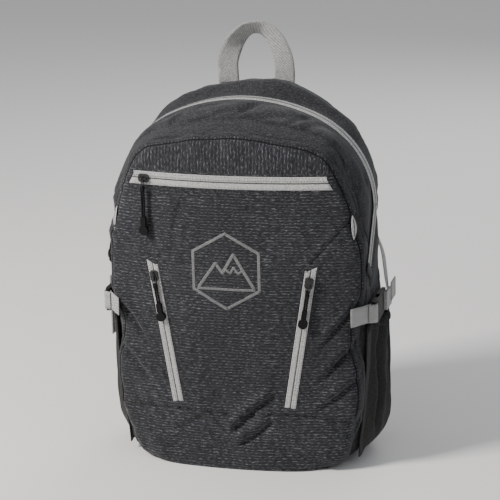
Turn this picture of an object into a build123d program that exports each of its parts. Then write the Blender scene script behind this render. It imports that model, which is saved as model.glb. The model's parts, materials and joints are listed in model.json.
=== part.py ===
# Daypack, about 18 litres: a hollow main compartment behind an arched zip, a
# front pocket, two elastic side pockets, compression straps with side-release
# buckles, padded shoulder straps and a webbing haul loop.
#
# Frame: millimetres, +Z up, -Y is the front of the pack, +Y the side that lies
# on the wearer's back, +X to the right seen from the front. The origin is on
# the floor under the arch zip: z = 0 is the underside of the base panel and
# y = 0 is the plane of the main zip.
import math
import os

from build123d import *

os.makedirs("parts", exist_ok=True)

# ---------------------------------------------------------------- driving sizes
WALL = 2.0            # padded fabric wall
BASE_T = 3.0          # base panel thickness
CROWN_R = 202.5       # flat crown of the main zip
CROWN_Z = 216.0
CROWN_A = 25.0        # half angle of the crown
SIDE_X = 150.0        # half width at the shoulder, where the zip runs vertical
SHO_R = (SIDE_X - CROWN_R * math.sin(math.radians(CROWN_A))) / (
    1 - math.sin(math.radians(CROWN_A)))         # shoulder radius of the zip
SHO_X = SIDE_X - SHO_R
SHO_Z = CROWN_Z + (CROWN_R - SHO_R) * math.cos(math.radians(CROWN_A))
HIP_Z = 190.0         # the sides are upright down to here, then narrow to the base
BASE_HALF = 138.0     # half width at the base
BACK_Y = 70.0         # outer face of the back wall
FRONT_Y = -50.0       # front wall of the main compartment
CORNER = 24.0         # bottom corner radius, seen from the front
FACE_Y = -88.0        # foremost line of the front pocket
FACE_R = 500.0        # the front face is rounded about a vertical axis
FACE_C = FACE_Y + FACE_R
TAPE_T = 0.8          # zip tape
TAPE_HALF = 13.0
COIL_T = 0.8          # zip coil, standing on the tape
COIL_HALF = 2.6
LEG_TILT = 35.0       # below the shoulders the main zip slants forward
LEG_L = 74.0
ZIP_Z = 341.0         # straight zip across the front pocket
ZIP_HALF = 113.0
SIDE_TOP = (92.0, 242.0)   # slanted pocket zips, upper and lower end
SIDE_LOW = (66.0, 78.0)
WEB = 25.0            # haul loop webbing
CWEB = 22.0           # compression webbing
CLIP_Z = 186.0        # height of the compression buckles
STRAP_T = 12.0        # padded shoulder strap
STRAP_Y = 99.0        # its face nearest the back pads

FRONT = Plane.XZ      # its normal is -Y: offset(d) is the plane y = -d


def save(part, name):
    part.label = name
    export_step(part, f"parts/{name}.step")


def body_outline(inset, floor=0.0):
    """Arched outline of the main compartment."""
    a = math.radians(CROWN_A)
    rc, rs = CROWN_R - inset, SHO_R - inset
    jx, jz = rc * math.sin(a), CROWN_Z + rc * math.cos(a)
    b = math.radians(CROWN_A + 90) / 2
    mx, mz = SHO_X + rs * math.sin(b), SHO_Z + rs * math.cos(b)
    side, low, z0 = SIDE_X - inset, BASE_HALF - inset, BASE_T + floor
    with BuildSketch() as sk:
        with BuildLine():
            Polyline((-side, SHO_Z), (-side, HIP_Z), (-low, z0), (low, z0),
                     (side, HIP_Z), (side, SHO_Z))
            ThreePointArc((side, SHO_Z), (mx, mz), (jx, jz))
            ThreePointArc((jx, jz), (0, CROWN_Z + rc), (-jx, jz))
            ThreePointArc((-jx, jz), (-mx, mz), (-side, SHO_Z))
        make_face()
        fillet(sk.vertices().group_by(Axis.Y)[0], radius=CORNER - max(inset, 0))
        fillet([v for v in sk.vertices() if abs(v.Y - HIP_Z) < 1], radius=400)
    return sk.sketch


def pocket_outline(inset, floor=0.0):
    """Outline of the front pocket."""
    z0 = BASE_T + floor
    w0, w1, w2, t = 128 - inset, 139 - inset, 110 - inset, 400 - inset
    with BuildSketch() as sk:
        with BuildLine():
            Polyline((-w0, z0), (w0, z0), (w1, 160), (w1, 312), (w2, 380 - inset),
                     (0, t), (-w2, 380 - inset), (-w1, 312), (-w1, 160), (-w0, z0))
        make_face()
        fillet(sk.vertices().group_by(Axis.Y)[0], radius=CORNER - inset)
        fillet([v for v in sk.vertices() if abs(v.Y - 160) < 1], radius=400)
        fillet([v for v in sk.vertices() if abs(v.Y - 312) < 1], radius=70)
        fillet([v for v in sk.vertices() if abs(v.Y - 380 + inset) < 1], radius=50)
        fillet([v for v in sk.vertices() if abs(v.Y - t) < 1], radius=300)
    return sk.sketch


def face_plane(x, z, lift=0.0):
    """Plane lying on the rounded front face at (x, z); its x runs to the right."""
    a = math.asin(x / FACE_R)
    n = (math.sin(a), -math.cos(a), 0)
    o = (n[0] * (FACE_R + lift), FACE_C + n[1] * (FACE_R + lift), z)
    return Plane(origin=o, x_dir=(math.cos(a), math.sin(a), 0), z_dir=n)


# ------------------------------------------------------------- main compartment
with BuildPart() as rear_cavity:
    with BuildSketch(FRONT.offset(-(BACK_Y - WALL))):
        add(body_outline(WALL, WALL))
    extrude(amount=BACK_Y - WALL + 5)
    fillet(rear_cavity.faces().sort_by(Axis.Y)[-1].edges(), radius=22 - WALL)

with BuildPart() as main_shell:
    with BuildSketch(FRONT.offset(-BACK_Y)):
        add(body_outline(0))
    extrude(amount=BACK_Y)
    fillet(main_shell.faces().sort_by(Axis.Y)[-1].edges(), radius=22)
    add(rear_cavity.part, mode=Mode.SUBTRACT)
save(main_shell.part, "main_shell")

with BuildPart() as front_block:
    with BuildSketch(FRONT):
        add(body_outline(0))
    extrude(amount=-FRONT_Y)
    fillet(front_block.faces().sort_by(Axis.Y)[0].edges(), radius=18)

with BuildPart() as front_cavity:
    with BuildSketch(FRONT.offset(-5)):
        add(body_outline(WALL, WALL))
    extrude(amount=5 - FRONT_Y - WALL)
    fillet(front_cavity.faces().sort_by(Axis.Y)[0].edges(), radius=18 - WALL)

with BuildPart() as front_shell:
    add(front_block.part)
    add(front_cavity.part, mode=Mode.SUBTRACT)
save(front_shell.part, "front_shell")

# ----------------------------------------------------------------- front pocket
with BuildPart() as pocket_block:
    with BuildSketch(FRONT.offset(34)):
        add(pocket_outline(0))
    extrude(amount=70)
    with BuildSketch(Plane.XY):
        with Locations((0, FACE_C)):
            Circle(FACE_R)
    extrude(amount=450, mode=Mode.INTERSECT)
    fillet(pocket_block.faces().sort_by(Axis.Y)[0].edges(), radius=14)

with BuildPart() as pocket_cavity:
    with BuildSketch(FRONT.offset(10)):
        add(pocket_outline(WALL, WALL))
    extrude(amount=90)
    with BuildSketch(Plane.XY):
        with Locations((0, FACE_C)):
            Circle(FACE_R - WALL)
    extrude(amount=450, mode=Mode.INTERSECT)
    fillet(pocket_cavity.faces().sort_by(Axis.Y)[0].edges(), radius=12)

with BuildPart() as front_pocket:
    add(pocket_block.part)
    add(pocket_cavity.part, mode=Mode.SUBTRACT)
    add(front_block.part, mode=Mode.SUBTRACT)
save(front_pocket.part, "front_pocket")

# ------------------------------------------------------------------- base panel
with BuildPart() as base_panel:
    with BuildSketch(Plane.XY):
        with Locations((0, -6)):
            RectangleRounded(222, 128, 22)
    extrude(amount=BASE_T)
save(base_panel.part, "base_panel")

# ------------------------------------------ inside: frame sheet, laptop sleeve
with BuildPart() as frame_sheet:
    with BuildSketch(FRONT.offset(-(BACK_Y - WALL))):
        with Locations((0, 205)):
            RectangleRounded(220, 340, 40)
    extrude(amount=1.5)
save(frame_sheet.part, "frame_sheet")

with BuildPart() as laptop_sleeve:
    with BuildSketch(FRONT.offset(-(BACK_Y - WALL - 1.5))):
        with Locations((0, 150)):
            RectangleRounded(240, 250, 12)
    extrude(amount=20)
    with BuildSketch(FRONT.offset(-(BACK_Y - WALL - 1.5))):
        with Locations((0, 170)):
            Rectangle(234, 284)
    extrude(amount=18.2, mode=Mode.SUBTRACT)
save(laptop_sleeve.part, "laptop_sleeve")


# ------------------------------------------------- padded back, outside the wall
def back_pad(name, cx, cz, w, h, r):
    with BuildPart() as pad:
        with BuildSketch(FRONT.offset(-BACK_Y)):
            with Locations((cx, cz)):
                RectangleRounded(w, h, r)
        extrude(amount=-11)
        fillet(pad.faces().sort_by(Axis.Y)[-1].edges(), radius=5)
    save(pad.part, name)


back_pad("back_pad_left", -56, 258, 88, 240, 26)
back_pad("back_pad_right", 56, 258, 88, 240, 26)
back_pad("back_pad_lumbar", 0, 82, 200, 92, 28)

# ----------------------------------------------------------- elastic side pockets
with BuildPart() as whole_body:
    with BuildSketch(FRONT.offset(-BACK_Y)):
        add(body_outline(0))
    extrude(amount=BACK_Y - FRONT_Y)


with BuildPart() as inner_block:
    with BuildSketch(Plane.XY):
        Rectangle(280, 240)
    extrude(amount=200)


def pocket_plan(side, grow):
    """Plan of a side pocket, from above: a shallow bow off the side panel."""
    with BuildSketch() as sk:
        with BuildLine():
            ThreePointArc((side * (132 + grow), -50 - grow), (side * (168 + grow), 4),
                          (side * (132 + grow), 58 + grow))
            Line((side * (132 + grow), 58 + grow), (side * (132 + grow), -50 - grow))
        make_face()
    return sk.sketch


def side_pocket(side, word):
    with BuildPart() as pouch:
        with BuildSketch(Plane.XY.offset(16)):
            add(pocket_plan(side, 0))
        extrude(amount=146)
        fillet(pouch.faces().sort_by(Axis.Z)[0].edges().filter_by(GeomType.CIRCLE), radius=4)
        with BuildSketch(Plane.XY.offset(21)):
            add(pocket_plan(side, -1.8))
        extrude(amount=150, mode=Mode.SUBTRACT)
        add(whole_body.part, mode=Mode.SUBTRACT)
        add(inner_block.part, mode=Mode.SUBTRACT)
    save(pouch.part, f"side_pocket_{word}")
    with BuildPart() as band:
        with BuildSketch(Plane.XY.offset(162)):
            add(pocket_plan(side, 0.6))
        extrude(amount=7)
        with BuildSketch(Plane.XY.offset(162)):
            add(pocket_plan(side, -2.4))
        extrude(amount=7, mode=Mode.SUBTRACT)
        add(whole_body.part, mode=Mode.SUBTRACT)
        add(inner_block.part, mode=Mode.SUBTRACT)
    save(band.part, f"pocket_binding_{word}")


side_pocket(-1, "left")
side_pocket(1, "right")


# --------------------------------------------------------------------- main zip
def arch_strip(name, low, high, half):
    """Strip standing on the arched outline from the crown down to the shoulders."""
    with BuildPart() as strip:
        with BuildSketch(FRONT.offset(-half)):
            add(body_outline(-high))
            add(body_outline(-low), mode=Mode.SUBTRACT)
            with Locations((0, SHO_Z + 150)):
                Rectangle(400, 300, mode=Mode.INTERSECT)
        extrude(amount=2 * half)
    save(strip.part, name)


arch_strip("main_zip_tape", 0, TAPE_T, TAPE_HALF)
arch_strip("main_zip_coil", TAPE_T, TAPE_T + COIL_T, COIL_HALF)

TILT = math.radians(LEG_TILT)


def leg_plane(side, lift=0.0):
    """Plane on the side panel at the top of a zip leg; -x runs down the leg."""
    up = (0, math.sin(TILT), math.cos(TILT))
    return Plane(origin=(side * (SIDE_X + lift), 0, SHO_Z), x_dir=up, z_dir=(side, 0, 0))


def leg_strip(name, side):
    with BuildPart() as strip:
        with BuildSketch(leg_plane(side, 0.05)):
            with Locations((-LEG_L / 2 - 1.0, 0)):
                Rectangle(LEG_L, 2 * TAPE_HALF)
        extrude(amount=TAPE_T - 0.05)
        with BuildSketch(leg_plane(side, TAPE_T)):
            with Locations((-LEG_L / 2 + 3.0, 0)):
                Rectangle(LEG_L - 8, 2 * COIL_HALF)
        extrude(amount=COIL_T)
        with BuildSketch(Plane.XY.offset(SHO_Z - 0.05)):
            Rectangle(400, 200)
        extrude(amount=50, mode=Mode.SUBTRACT)
    save(strip.part, name)


for side, word in ((-1, "left"), (1, "right")):
    leg_strip(f"main_zip_leg_{word}", side)


# -------------------------------------------------------------------- front zip
def face_strip(name, low, high, half_h, half_x):
    with BuildPart() as strip:
        with BuildSketch(Plane.XY.offset(ZIP_Z - half_h)):
            with Locations((0, FACE_C)):
                Circle(FACE_R + high)
                Circle(FACE_R + low, mode=Mode.SUBTRACT)
            with Locations((0, FACE_Y)):
                Rectangle(2 * half_x, 60, mode=Mode.INTERSECT)
        extrude(amount=2 * half_h)
    save(strip.part, name)


face_strip("front_zip_tape", 0, TAPE_T, 7.5, ZIP_HALF)
face_strip("front_zip_coil", TAPE_T, TAPE_T + COIL_T, 2.4, ZIP_HALF - 6)


# -------------------------------------------------- slanted zips, front pocket
def slant_plane(side, t, lift=0.0):
    """Plane on the face at fraction t down a slanted zip; +x runs up the zip."""
    pts = []
    for x, z in (SIDE_TOP, SIDE_LOW):
        p = face_plane(side * x, z, lift)
        pts.append(p.origin)
    o = pts[0] + (pts[1] - pts[0]) * t
    up = (pts[0] - pts[1]).normalized()
    mid = face_plane(side * (SIDE_TOP[0] + SIDE_LOW[0]) / 2, 0)
    n = mid.z_dir
    n = (n - up * n.dot(up)).normalized()
    return Plane(origin=o, x_dir=up, z_dir=n)


SLANT_L = (slant_plane(1, 0).origin - slant_plane(1, 1).origin).length


def slant_strip(name, side):
    with BuildPart() as strip:
        with BuildSketch(slant_plane(side, 0.5, 0)):
            Rectangle(SLANT_L + 6, 11)
        extrude(amount=TAPE_T)
        with BuildSketch(Plane.XY):
            with Locations((0, FACE_C)):
                Circle(FACE_R)
        extrude(amount=450, mode=Mode.SUBTRACT)
        with BuildSketch(slant_plane(side, 0.5, TAPE_T)):
            Rectangle(SLANT_L, 4.4)
        extrude(amount=COIL_T)
    save(strip.part, name)


for side, word in ((-1, "left"), (1, "right")):
    slant_strip(f"side_zip_{word}", side)


# ------------------------------------------------------------- sliders and pulls
BAR_W = 5.2           # height of the bridge bar above the tape


def slider(name, base, size=1.0):
    """Slider body; base lies on the tape, its x along the zip."""
    o, u, w = base.origin, base.x_dir, base.z_dir
    edge = Plane(origin=o, x_dir=u, z_dir=-base.y_dir)
    with BuildPart() as body:
        with BuildSketch(base.offset(1.2)):
            RectangleRounded(13.0, 9.4, 2.6)
        extrude(amount=1.2)
        with BuildSketch(base.offset(0.35)):
            with Locations((0, 4.1), (0, -4.1)):
                Rectangle(8.6, 1.2)
        extrude(amount=0.9)
        with BuildSketch(edge):
            with Locations((0, 4.0)):
                Rectangle(9.6, 3.6)
            with Locations((0, 3.4)):
                Rectangle(7.0, 2.4, mode=Mode.SUBTRACT)
        extrude(amount=0.8, both=True)
    save(body.part, name)


def pull_ring_flat(base, reach, wire):
    """Wire loop lying in the plane of the zip, hooked under the bridge; base is
    the slider's plane, the loop runs along -x."""
    loop_plane = base.offset(3.3)
    with BuildPart() as ring:
        with BuildLine(loop_plane) as path:
            FilletPolyline((-1.9, -2.3), (-1.9, 2.3), (-reach, 2.3), (-reach, -2.3),
                           radius=1.0, close=True)
        with BuildSketch(Plane(origin=path.wire() @ 0, z_dir=path.wire() % 0)):
            Circle(wire)
        sweep()
    return ring.part


def pull_cord(name, start, down, out, length, room):
    """Two strands of cord with a moulded end. start is the point inside the
    loop, down the direction the cord hangs in, out the face's outward normal,
    room a thicker copy of the wire loop that the cord is looped round."""
    with BuildPart() as cord:
        with BuildSketch(Plane(origin=start, x_dir=out, z_dir=down)):
            with Locations((0, 1.3), (0, -1.3)):
                Circle(1.1)
        extrude(amount=length - 16)
        with BuildSketch(Plane(origin=start - down * 1.2, x_dir=out, z_dir=down)):
            RectangleRounded(4.6, 4.6, 1.1)
        extrude(amount=5.4)
        add(room, mode=Mode.SUBTRACT)
        with BuildSketch(Plane(origin=start - out * 2.0, x_dir=down, z_dir=out)):
            with Locations((length - 18, 0)):
                RectangleRounded(12, 6.0, 2.0)
            with Locations((length - 8, 0)):
                Circle(5.4)
        extrude(amount=4.0)
    save(cord.part, f"{name}_cord")


def flat_pull(name, base, reach=11.0, length=54.0):
    save(pull_ring_flat(base, reach, 0.6), f"{name}_ring")
    down = base.x_dir * -1
    start = base.origin + base.z_dir * 3.3 + down * (reach - 1.0)
    pull_cord(name, start, down, base.z_dir, length, pull_ring_flat(base, reach, 0.75))


# front zip: the pull hangs below the bar of the slider
FRONT_X = -98.0
fp = face_plane(FRONT_X, ZIP_Z, TAPE_T)
slider("front_slider", fp)
hang = Plane(origin=fp.origin, x_dir=(0, 0, -1), z_dir=fp.z_dir)
ring_side = Plane(origin=fp.origin + fp.z_dir * BAR_W, x_dir=(0, 0, -1), z_dir=fp.x_dir)


def hanging_ring(wire):
    with BuildPart() as ring:
        with BuildLine(ring_side) as path:
            Line((0, 1.9), (9.0, 1.9))
            ThreePointArc((9.0, 1.9), (10.9, 0), (9.0, -1.9))
            Line((9.0, -1.9), (0, -1.9))
            ThreePointArc((0, -1.9), (-1.9, 0), (0, 1.9))
        with BuildSketch(Plane(origin=path.wire() @ 0, z_dir=path.wire() % 0)):
            Circle(wire)
        sweep()
    return ring.part


save(hanging_ring(0.6), "front_pull_ring")
pull_cord("front_pull", fp.origin + fp.z_dir * BAR_W + Vector(0, 0, -10.0),
          Vector(0, 0, -1), fp.z_dir, 58.0, hanging_ring(0.75))

# slanted zips: sliders at the top
SLANT_PARK = 15.0 / SLANT_L
for side, word in ((-1, "left"), (1, "right")):
    sp = slant_plane(side, SLANT_PARK, TAPE_T)
    slider(f"side_slider_{word}", sp)
    flat_pull(f"side_pull_{word}", sp, length=46.0)

# main zip: the two sliders meet at the top of the left leg
LOW_PARK = 16.0
low = leg_plane(-1, TAPE_T)
low = Plane(origin=low.origin - low.x_dir * LOW_PARK, x_dir=low.x_dir, z_dir=low.z_dir)
slider("main_slider_low", low)
flat_pull("main_pull_low", low)
HIGH_A = math.radians(-82.0)
hn = Vector(math.sin(HIGH_A), 0, math.cos(HIGH_A))
hu = Vector(math.cos(HIGH_A), 0, -math.sin(HIGH_A))
high = Plane(origin=Vector(-SHO_X, 0, SHO_Z) + hn * (SHO_R + TAPE_T), x_dir=hu, z_dir=hn)
slider("main_slider_high", high)
flat_pull("main_pull_high", high)

# ------------------------------------------- compression straps, with buckles
def bent_strip(name, points, radius, thick, z0, z1, clip=None):
    """Webbing standing on edge: a bent line seen from above, given a thickness."""
    with BuildPart() as strip:
        with BuildSketch(Plane.XY.offset(z0)):
            with BuildLine():
                FilletPolyline(*points, radius=radius)
            trace(line_width=thick)
        extrude(amount=z1 - z0)
    save(strip.part, name)


WZ0, WZ1 = CLIP_Z - CWEB / 2, CLIP_Z + CWEB / 2
for side, word in ((-1, "left"), (1, "right")):
    # front stub: sewn to the pocket edge, looped over the bar of the socket
    bent_strip(
        f"compression_stub_{word}",
        [(side * x, y) for x, y in (
            (140.2, -66), (140.2, -56), (150.4, -53.2), (152.5, -45.0),
            (161.7, -45.0), (161.7, -52.0), (155.4, -58.0))],
        0.9, 1.4, WZ0, WZ1)

    with BuildPart() as socket:
        with BuildSketch(Plane.XY.offset(CLIP_Z - 13.5)):
            with BuildLine():
                Polyline((side * 155.0, -51.0), (side * 159.4, -51.0),
                         (side * 161.2, -42.0), (side * 161.2, -14.0),
                         (side * 153.0, -14.0), (side * 153.0, -42.0),
                         (side * 155.0, -51.0))
            make_face()
        extrude(amount=27)
        fillet(socket.edges().filter_by(Axis.Y), radius=1.6)
        with BuildSketch(Plane.XZ.offset(14)):
            with Locations((side * 157.1, CLIP_Z)):
                Rectangle(4.6, 22.0)
        extrude(amount=25, mode=Mode.SUBTRACT)
        with BuildSketch(Plane.YZ.offset(side * 165)):
            with Locations((-45.0, CLIP_Z)):
                Rectangle(4.0, 23.4)
        extrude(amount=-side * 20, mode=Mode.SUBTRACT)
        with BuildSketch(Plane.XY.offset(CLIP_Z - 20)):
            with Locations((side * 157.1, -27.0)):
                SlotOverall(13.0, 4.6, rotation=90)
        extrude(amount=40, mode=Mode.SUBTRACT)
    save(socket.part, f"buckle_socket_{word}")

    with BuildPart() as plug:
        with BuildSketch(Plane.XY.offset(CLIP_Z - 13)):
            with BuildLine():
                Polyline((side * 153.9, -13.6), (side * 160.6, -13.6),
                         (side * 160.6, -9.0), (side * 160.2, 8.0),
                         (side * 155.8, 8.0), (side * 155.2, -6.0),
                         (side * 153.9, -9.0), (side * 153.9, -13.6))
            make_face()
        extrude(amount=26)
        fillet(plug.edges().filter_by(Axis.Y), radius=0.8)
        with BuildSketch(Plane.YZ.offset(side * 165)):
            with Locations((-3.0, CLIP_Z), (3.4, CLIP_Z)):
                Rectangle(3.4, 22.6)
        extrude(amount=-side * 20, mode=Mode.SUBTRACT)
        with BuildSketch(Plane.YZ.offset(side * 157.1)):
            with Locations((-23.0, CLIP_Z - 8.2), (-23.0, CLIP_Z + 8.2)):
                Rectangle(20.0, 4.0)
            with Locations((-20.0, CLIP_Z)):
                Rectangle(14.0, 4.0)
            with Locations((-31.0, CLIP_Z - 8.0), (-31.0, CLIP_Z + 8.0)):
                SlotOverall(7.0, 5.2)
        extrude(amount=1.8, both=True)
    save(plug.part, f"buckle_plug_{word}")

    # webbing threaded through the plug, with its free end: the right one stands
    # out behind the buckle, the left one hangs down
    with BuildPart() as wrap:
        with BuildSketch(Plane.XY.offset(WZ0 + 0.2)):
            with BuildLine():
                FilletPolyline(*[(side * x, y) for x, y in (
                    (161.9, 20.0), (161.9, 3.4), (154.4, 3.4), (154.4, -3.0),
                    (163.7, -3.0), (163.7, 24.0))], radius=0.9)
            trace(line_width=1.3)
        extrude(amount=CWEB - 0.4)
        if side > 0:
            with BuildSketch(Plane.YZ.offset(164.2)):
                with Locations((30.0, CLIP_Z + 5)):
                    Rectangle(26, CWEB)
            extrude(amount=1.5)
        else:
            with BuildSketch(Plane.XZ.offset(-6)):
                with BuildLine():
                    FilletPolyline((-164.9, CLIP_Z - 2), (-164.9, CLIP_Z + 12),
                                   (-172.5, CLIP_Z + 12), (-172.5, CLIP_Z - 62),
                                   radius=2.5)
                trace(line_width=1.5)
            extrude(amount=-CWEB)
    save(wrap.part, f"compression_tail_{word}")

    # webbing from the back seam, lying on the side panel
    mid = Vector(side * 150.8, 47.0, 236.0)
    run = Vector(0, 20.0, 56.0).normalized()
    with BuildPart() as rear_web:
        with BuildSketch(Plane(origin=mid, x_dir=run, z_dir=(side, 0, 0))):
            Rectangle(62, CWEB)
        extrude(amount=1.6)
    save(rear_web.part, f"compression_webbing_{word}")

# ---------------------------------------------------------------- haul loop
LOOP_Y, LOOP_AXIS, LOOP_X = 60.0, 425.5, 33.0
with BuildPart() as loop:
    with BuildSketch(FRONT.offset(-(LOOP_Y + 11))):
        with BuildLine():
            Line((-LOOP_X, 430), (-LOOP_X, 456))
            ThreePointArc((-LOOP_X, 456), (0, 489), (LOOP_X, 456))
            Line((LOOP_X, 456), (LOOP_X, 430))
        trace(line_width=1.8)
    extrude(amount=22)
save(loop.part, "haul_loop")

with BuildPart() as loop_ends:
    with BuildSketch(FRONT.offset(-(LOOP_Y + 0.9))):
        with Locations((-LOOP_X, 417.5), (LOOP_X, 417.5)):
            Rectangle(WEB, 15.0)
    extrude(amount=1.8)
    add(whole_body.part, mode=Mode.SUBTRACT)
save(loop_ends.part, "haul_loop_ends")

# ------------------------------------------------------------ shoulder straps
for side, word in ((-1, "left"), (1, "right")):
    top = Vector(side * 46, 80, 386)
    low_end = Vector(side * 128, 70, 34)
    axis = (low_end - top).normalized()

    def across(s, pick):
        """Big block on one side of a plane square to the line the strap swings on."""
        return Plane(origin=top + axis * s, x_dir=(0, 1, 0) if abs(axis.Y) < 0.5 else (1, 0, 0),
                     z_dir=axis * pick)

    with BuildPart() as pad:
        with BuildSketch(FRONT.offset(-(STRAP_Y + STRAP_T))):
            with BuildLine():
                Spline((side * 45, 400), (side * 56, 330), (side * 82, 252),
                       (side * 96, 192), (side * 99, 150))
            trace(line_width=60)
        extrude(amount=STRAP_T)
        fillet(pad.faces().sort_by(Axis.Y)[-1].edges().filter_by(GeomType.LINE, reverse=True), radius=3)
        with BuildSketch(across(38, -1)):
            Rectangle(300, 300)
        extrude(amount=200, mode=Mode.SUBTRACT)
    save(pad.part, f"shoulder_strap_{word}")

    with BuildPart() as stub:
        with BuildSketch(Plane.YZ.offset(side * 46 - 28)):
            with BuildLine():
                FilletPolyline((71.5, 392), (88, 392), (105, 378), (105, 330), radius=10)
            trace(line_width=12)
            with Locations((60, 400)):
                Rectangle(23.0, 60, mode=Mode.SUBTRACT)
        extrude(amount=56)
        with BuildSketch(across(36.5, 1)):
            Rectangle(300, 300)
        extrude(amount=200, mode=Mode.SUBTRACT)
    save(stub.part, f"strap_top_{word}")

    with BuildPart() as adjuster:
        with BuildSketch(FRONT.offset(-107.0)):
            with Locations((side * 100, 138)):
                RectangleRounded(32, 22, 4)
            with Locations((side * 100, 143.4), (side * 100, 136.6)):
                RectangleRounded(24, 4.0, 1.5, mode=Mode.SUBTRACT)
        extrude(amount=4.0)
    save(adjuster.part, f"strap_adjuster_{word}")

    a, b = Vector(side * 100, 101.2, 138), low_end + Vector(0, 5, 12)
    run = (b - a).normalized()
    web_plane = Plane(origin=(a + b) * 0.5, x_dir=run,
                      z_dir=(Vector(0, 1, 0) - run * run.Y).normalized())
    full = (b - a).length
    with BuildPart() as webbing:
        with BuildSketch(web_plane):
            with Locations((-13, 0)):
                Rectangle(full - 26, 20)
        extrude(amount=0.8, both=True)
    save(webbing.part, f"strap_webbing_{word}")

    # sewn tab at the bottom corner with the caught end of the lower webbing
    with BuildPart() as tab:
        with BuildSketch(web_plane):
            with Locations((full / 2 - 12.5, 0)):
                Rectangle(25, 20)
        extrude(amount=0.8, both=True)
        with BuildSketch(FRONT.offset(-72.6)):
            with BuildLine():
                Polyline((side * 100, 12), (side * 132, 16), (side * 139, 44),
                         (side * 117, 50), (side * 100, 12))
            make_face()
        extrude(amount=2.2)
    save(tab.part, f"strap_tab_{word}")
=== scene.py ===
import bpy, json, math
import numpy as np
from mathutils import Vector, Matrix, noise


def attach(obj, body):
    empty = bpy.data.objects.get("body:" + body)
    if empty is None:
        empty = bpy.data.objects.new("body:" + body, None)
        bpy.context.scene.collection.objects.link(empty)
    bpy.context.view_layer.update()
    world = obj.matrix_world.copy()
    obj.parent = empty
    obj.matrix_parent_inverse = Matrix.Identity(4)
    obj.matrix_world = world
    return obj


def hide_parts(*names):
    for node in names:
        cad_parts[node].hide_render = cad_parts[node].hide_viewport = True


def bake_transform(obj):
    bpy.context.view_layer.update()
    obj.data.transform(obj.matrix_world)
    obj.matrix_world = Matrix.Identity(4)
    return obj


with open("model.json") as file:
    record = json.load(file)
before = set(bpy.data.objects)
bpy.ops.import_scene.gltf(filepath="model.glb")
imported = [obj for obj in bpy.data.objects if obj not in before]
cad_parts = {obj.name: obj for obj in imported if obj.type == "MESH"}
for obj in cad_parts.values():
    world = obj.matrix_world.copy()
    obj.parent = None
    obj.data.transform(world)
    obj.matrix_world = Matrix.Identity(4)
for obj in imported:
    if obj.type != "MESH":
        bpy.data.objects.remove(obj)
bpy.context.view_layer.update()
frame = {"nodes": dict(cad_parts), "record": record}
MM = 0.001
rng = np.random.default_rng(7)

# ------------------------------------------------------------------ mesh helpers


def make(name, verts, faces, mat=None, body="pack", smooth=True):
    """Mesh object from millimetre vertices."""
    me = bpy.data.meshes.new(name)
    me.from_pydata([tuple(float(c) * MM for c in v) for v in verts], [], faces)
    me.validate()
    ob = bpy.data.objects.new(name, me)
    bpy.context.scene.collection.objects.link(ob)
    if smooth:
        me.polygons.foreach_set("use_smooth", [True] * len(me.polygons))
    if mat:
        me.materials.append(mat)
    if body:
        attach(ob, body)
    return ob


def unit(a):
    a = np.asarray(a, float)
    return a / np.maximum(np.linalg.norm(a, axis=-1, keepdims=True), 1e-9)


def fbm(p, scale, seed=0.0, octaves=3):
    """Smooth noise from -1 to 1 at millimetre points."""
    out = np.empty(len(p))
    off = Vector((seed * 17.3, seed * 5.1, seed * 9.7))
    for i, q in enumerate(p):
        out[i] = noise.fractal(Vector(q) / scale + off, 1.0, 2.0, octaves)
    return out


def tube_mesh(paths, radius, seg=8, closed=False):
    """Verts and faces of round tubes along several paths."""
    V, F = [], []
    for path in paths:
        P = np.asarray(path, float)
        n = len(P)
        T = np.roll(P, -1, 0) - np.roll(P, 1, 0)
        if not closed:
            T[0], T[-1] = P[1] - P[0], P[-1] - P[-2]
        T = unit(T)
        a = np.array([0.31, 0.85, 0.43])
        N = unit(np.cross(T, a)); B = np.cross(T, N)
        base = len(V)
        for i in range(n):
            for k in range(seg):
                t = 2 * math.pi * k / seg
                V.append(P[i] + radius * (math.cos(t) * N[i] + math.sin(t) * B[i]))
        m = n if closed else n - 1
        for i in range(m):
            for k in range(seg):
                a0, a1 = base + i * seg + k, base + i * seg + (k + 1) % seg
                b0, b1 = base + ((i + 1) % n) * seg + k, base + ((i + 1) % n) * seg + (k + 1) % seg
                F.append((a0, a1, b1, b0))
        if not closed:
            F.append(tuple(base + k for k in range(seg))[::-1])
            F.append(tuple(base + (n - 1) * seg + k for k in range(seg)))
    return V, F


def ribbon_mesh(path, across, out, width, thick, lift=0.0, crown=0.0, seg=6, widths=None):
    """Closed strip. across and out are unit vectors per point; the strip's
    underside is lift above the path."""
    P = np.asarray(path, float)
    n = len(P)
    A = np.broadcast_to(unit(across), P.shape)
    O = np.broadcast_to(unit(out), P.shape)
    V, F = [], []
    us = np.linspace(-1, 1, seg + 1)
    for i in range(n):
        w = (widths[i] if widths is not None else width) / 2
        for u in us:
            e = 0.18 * thick if abs(u) > 0.99 else 0.0
            V.append(P[i] + A[i] * u * w + O[i] * (lift + thick - e + crown * (1 - u * u)))
        for u in us[::-1]:
            e = 0.18 * thick if abs(u) > 0.99 else 0.0
            V.append(P[i] + A[i] * u * w + O[i] * (lift + e))
    m = 2 * (seg + 1)
    for i in range(n - 1):
        for k in range(m):
            a0, a1 = i * m + k, i * m + (k + 1) % m
            F.append((a0, a0 + m, a1 + m, a1))
    F.append(tuple(range(m)))
    F.append(tuple((n - 1) * m + k for k in range(m))[::-1])
    return V, F


def merge(parts):
    V, F = [], []
    for v, f in parts:
        b = len(V)
        V.extend(v)
        F.extend(tuple(i + b for i in face) for face in f)
    return V, F


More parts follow.
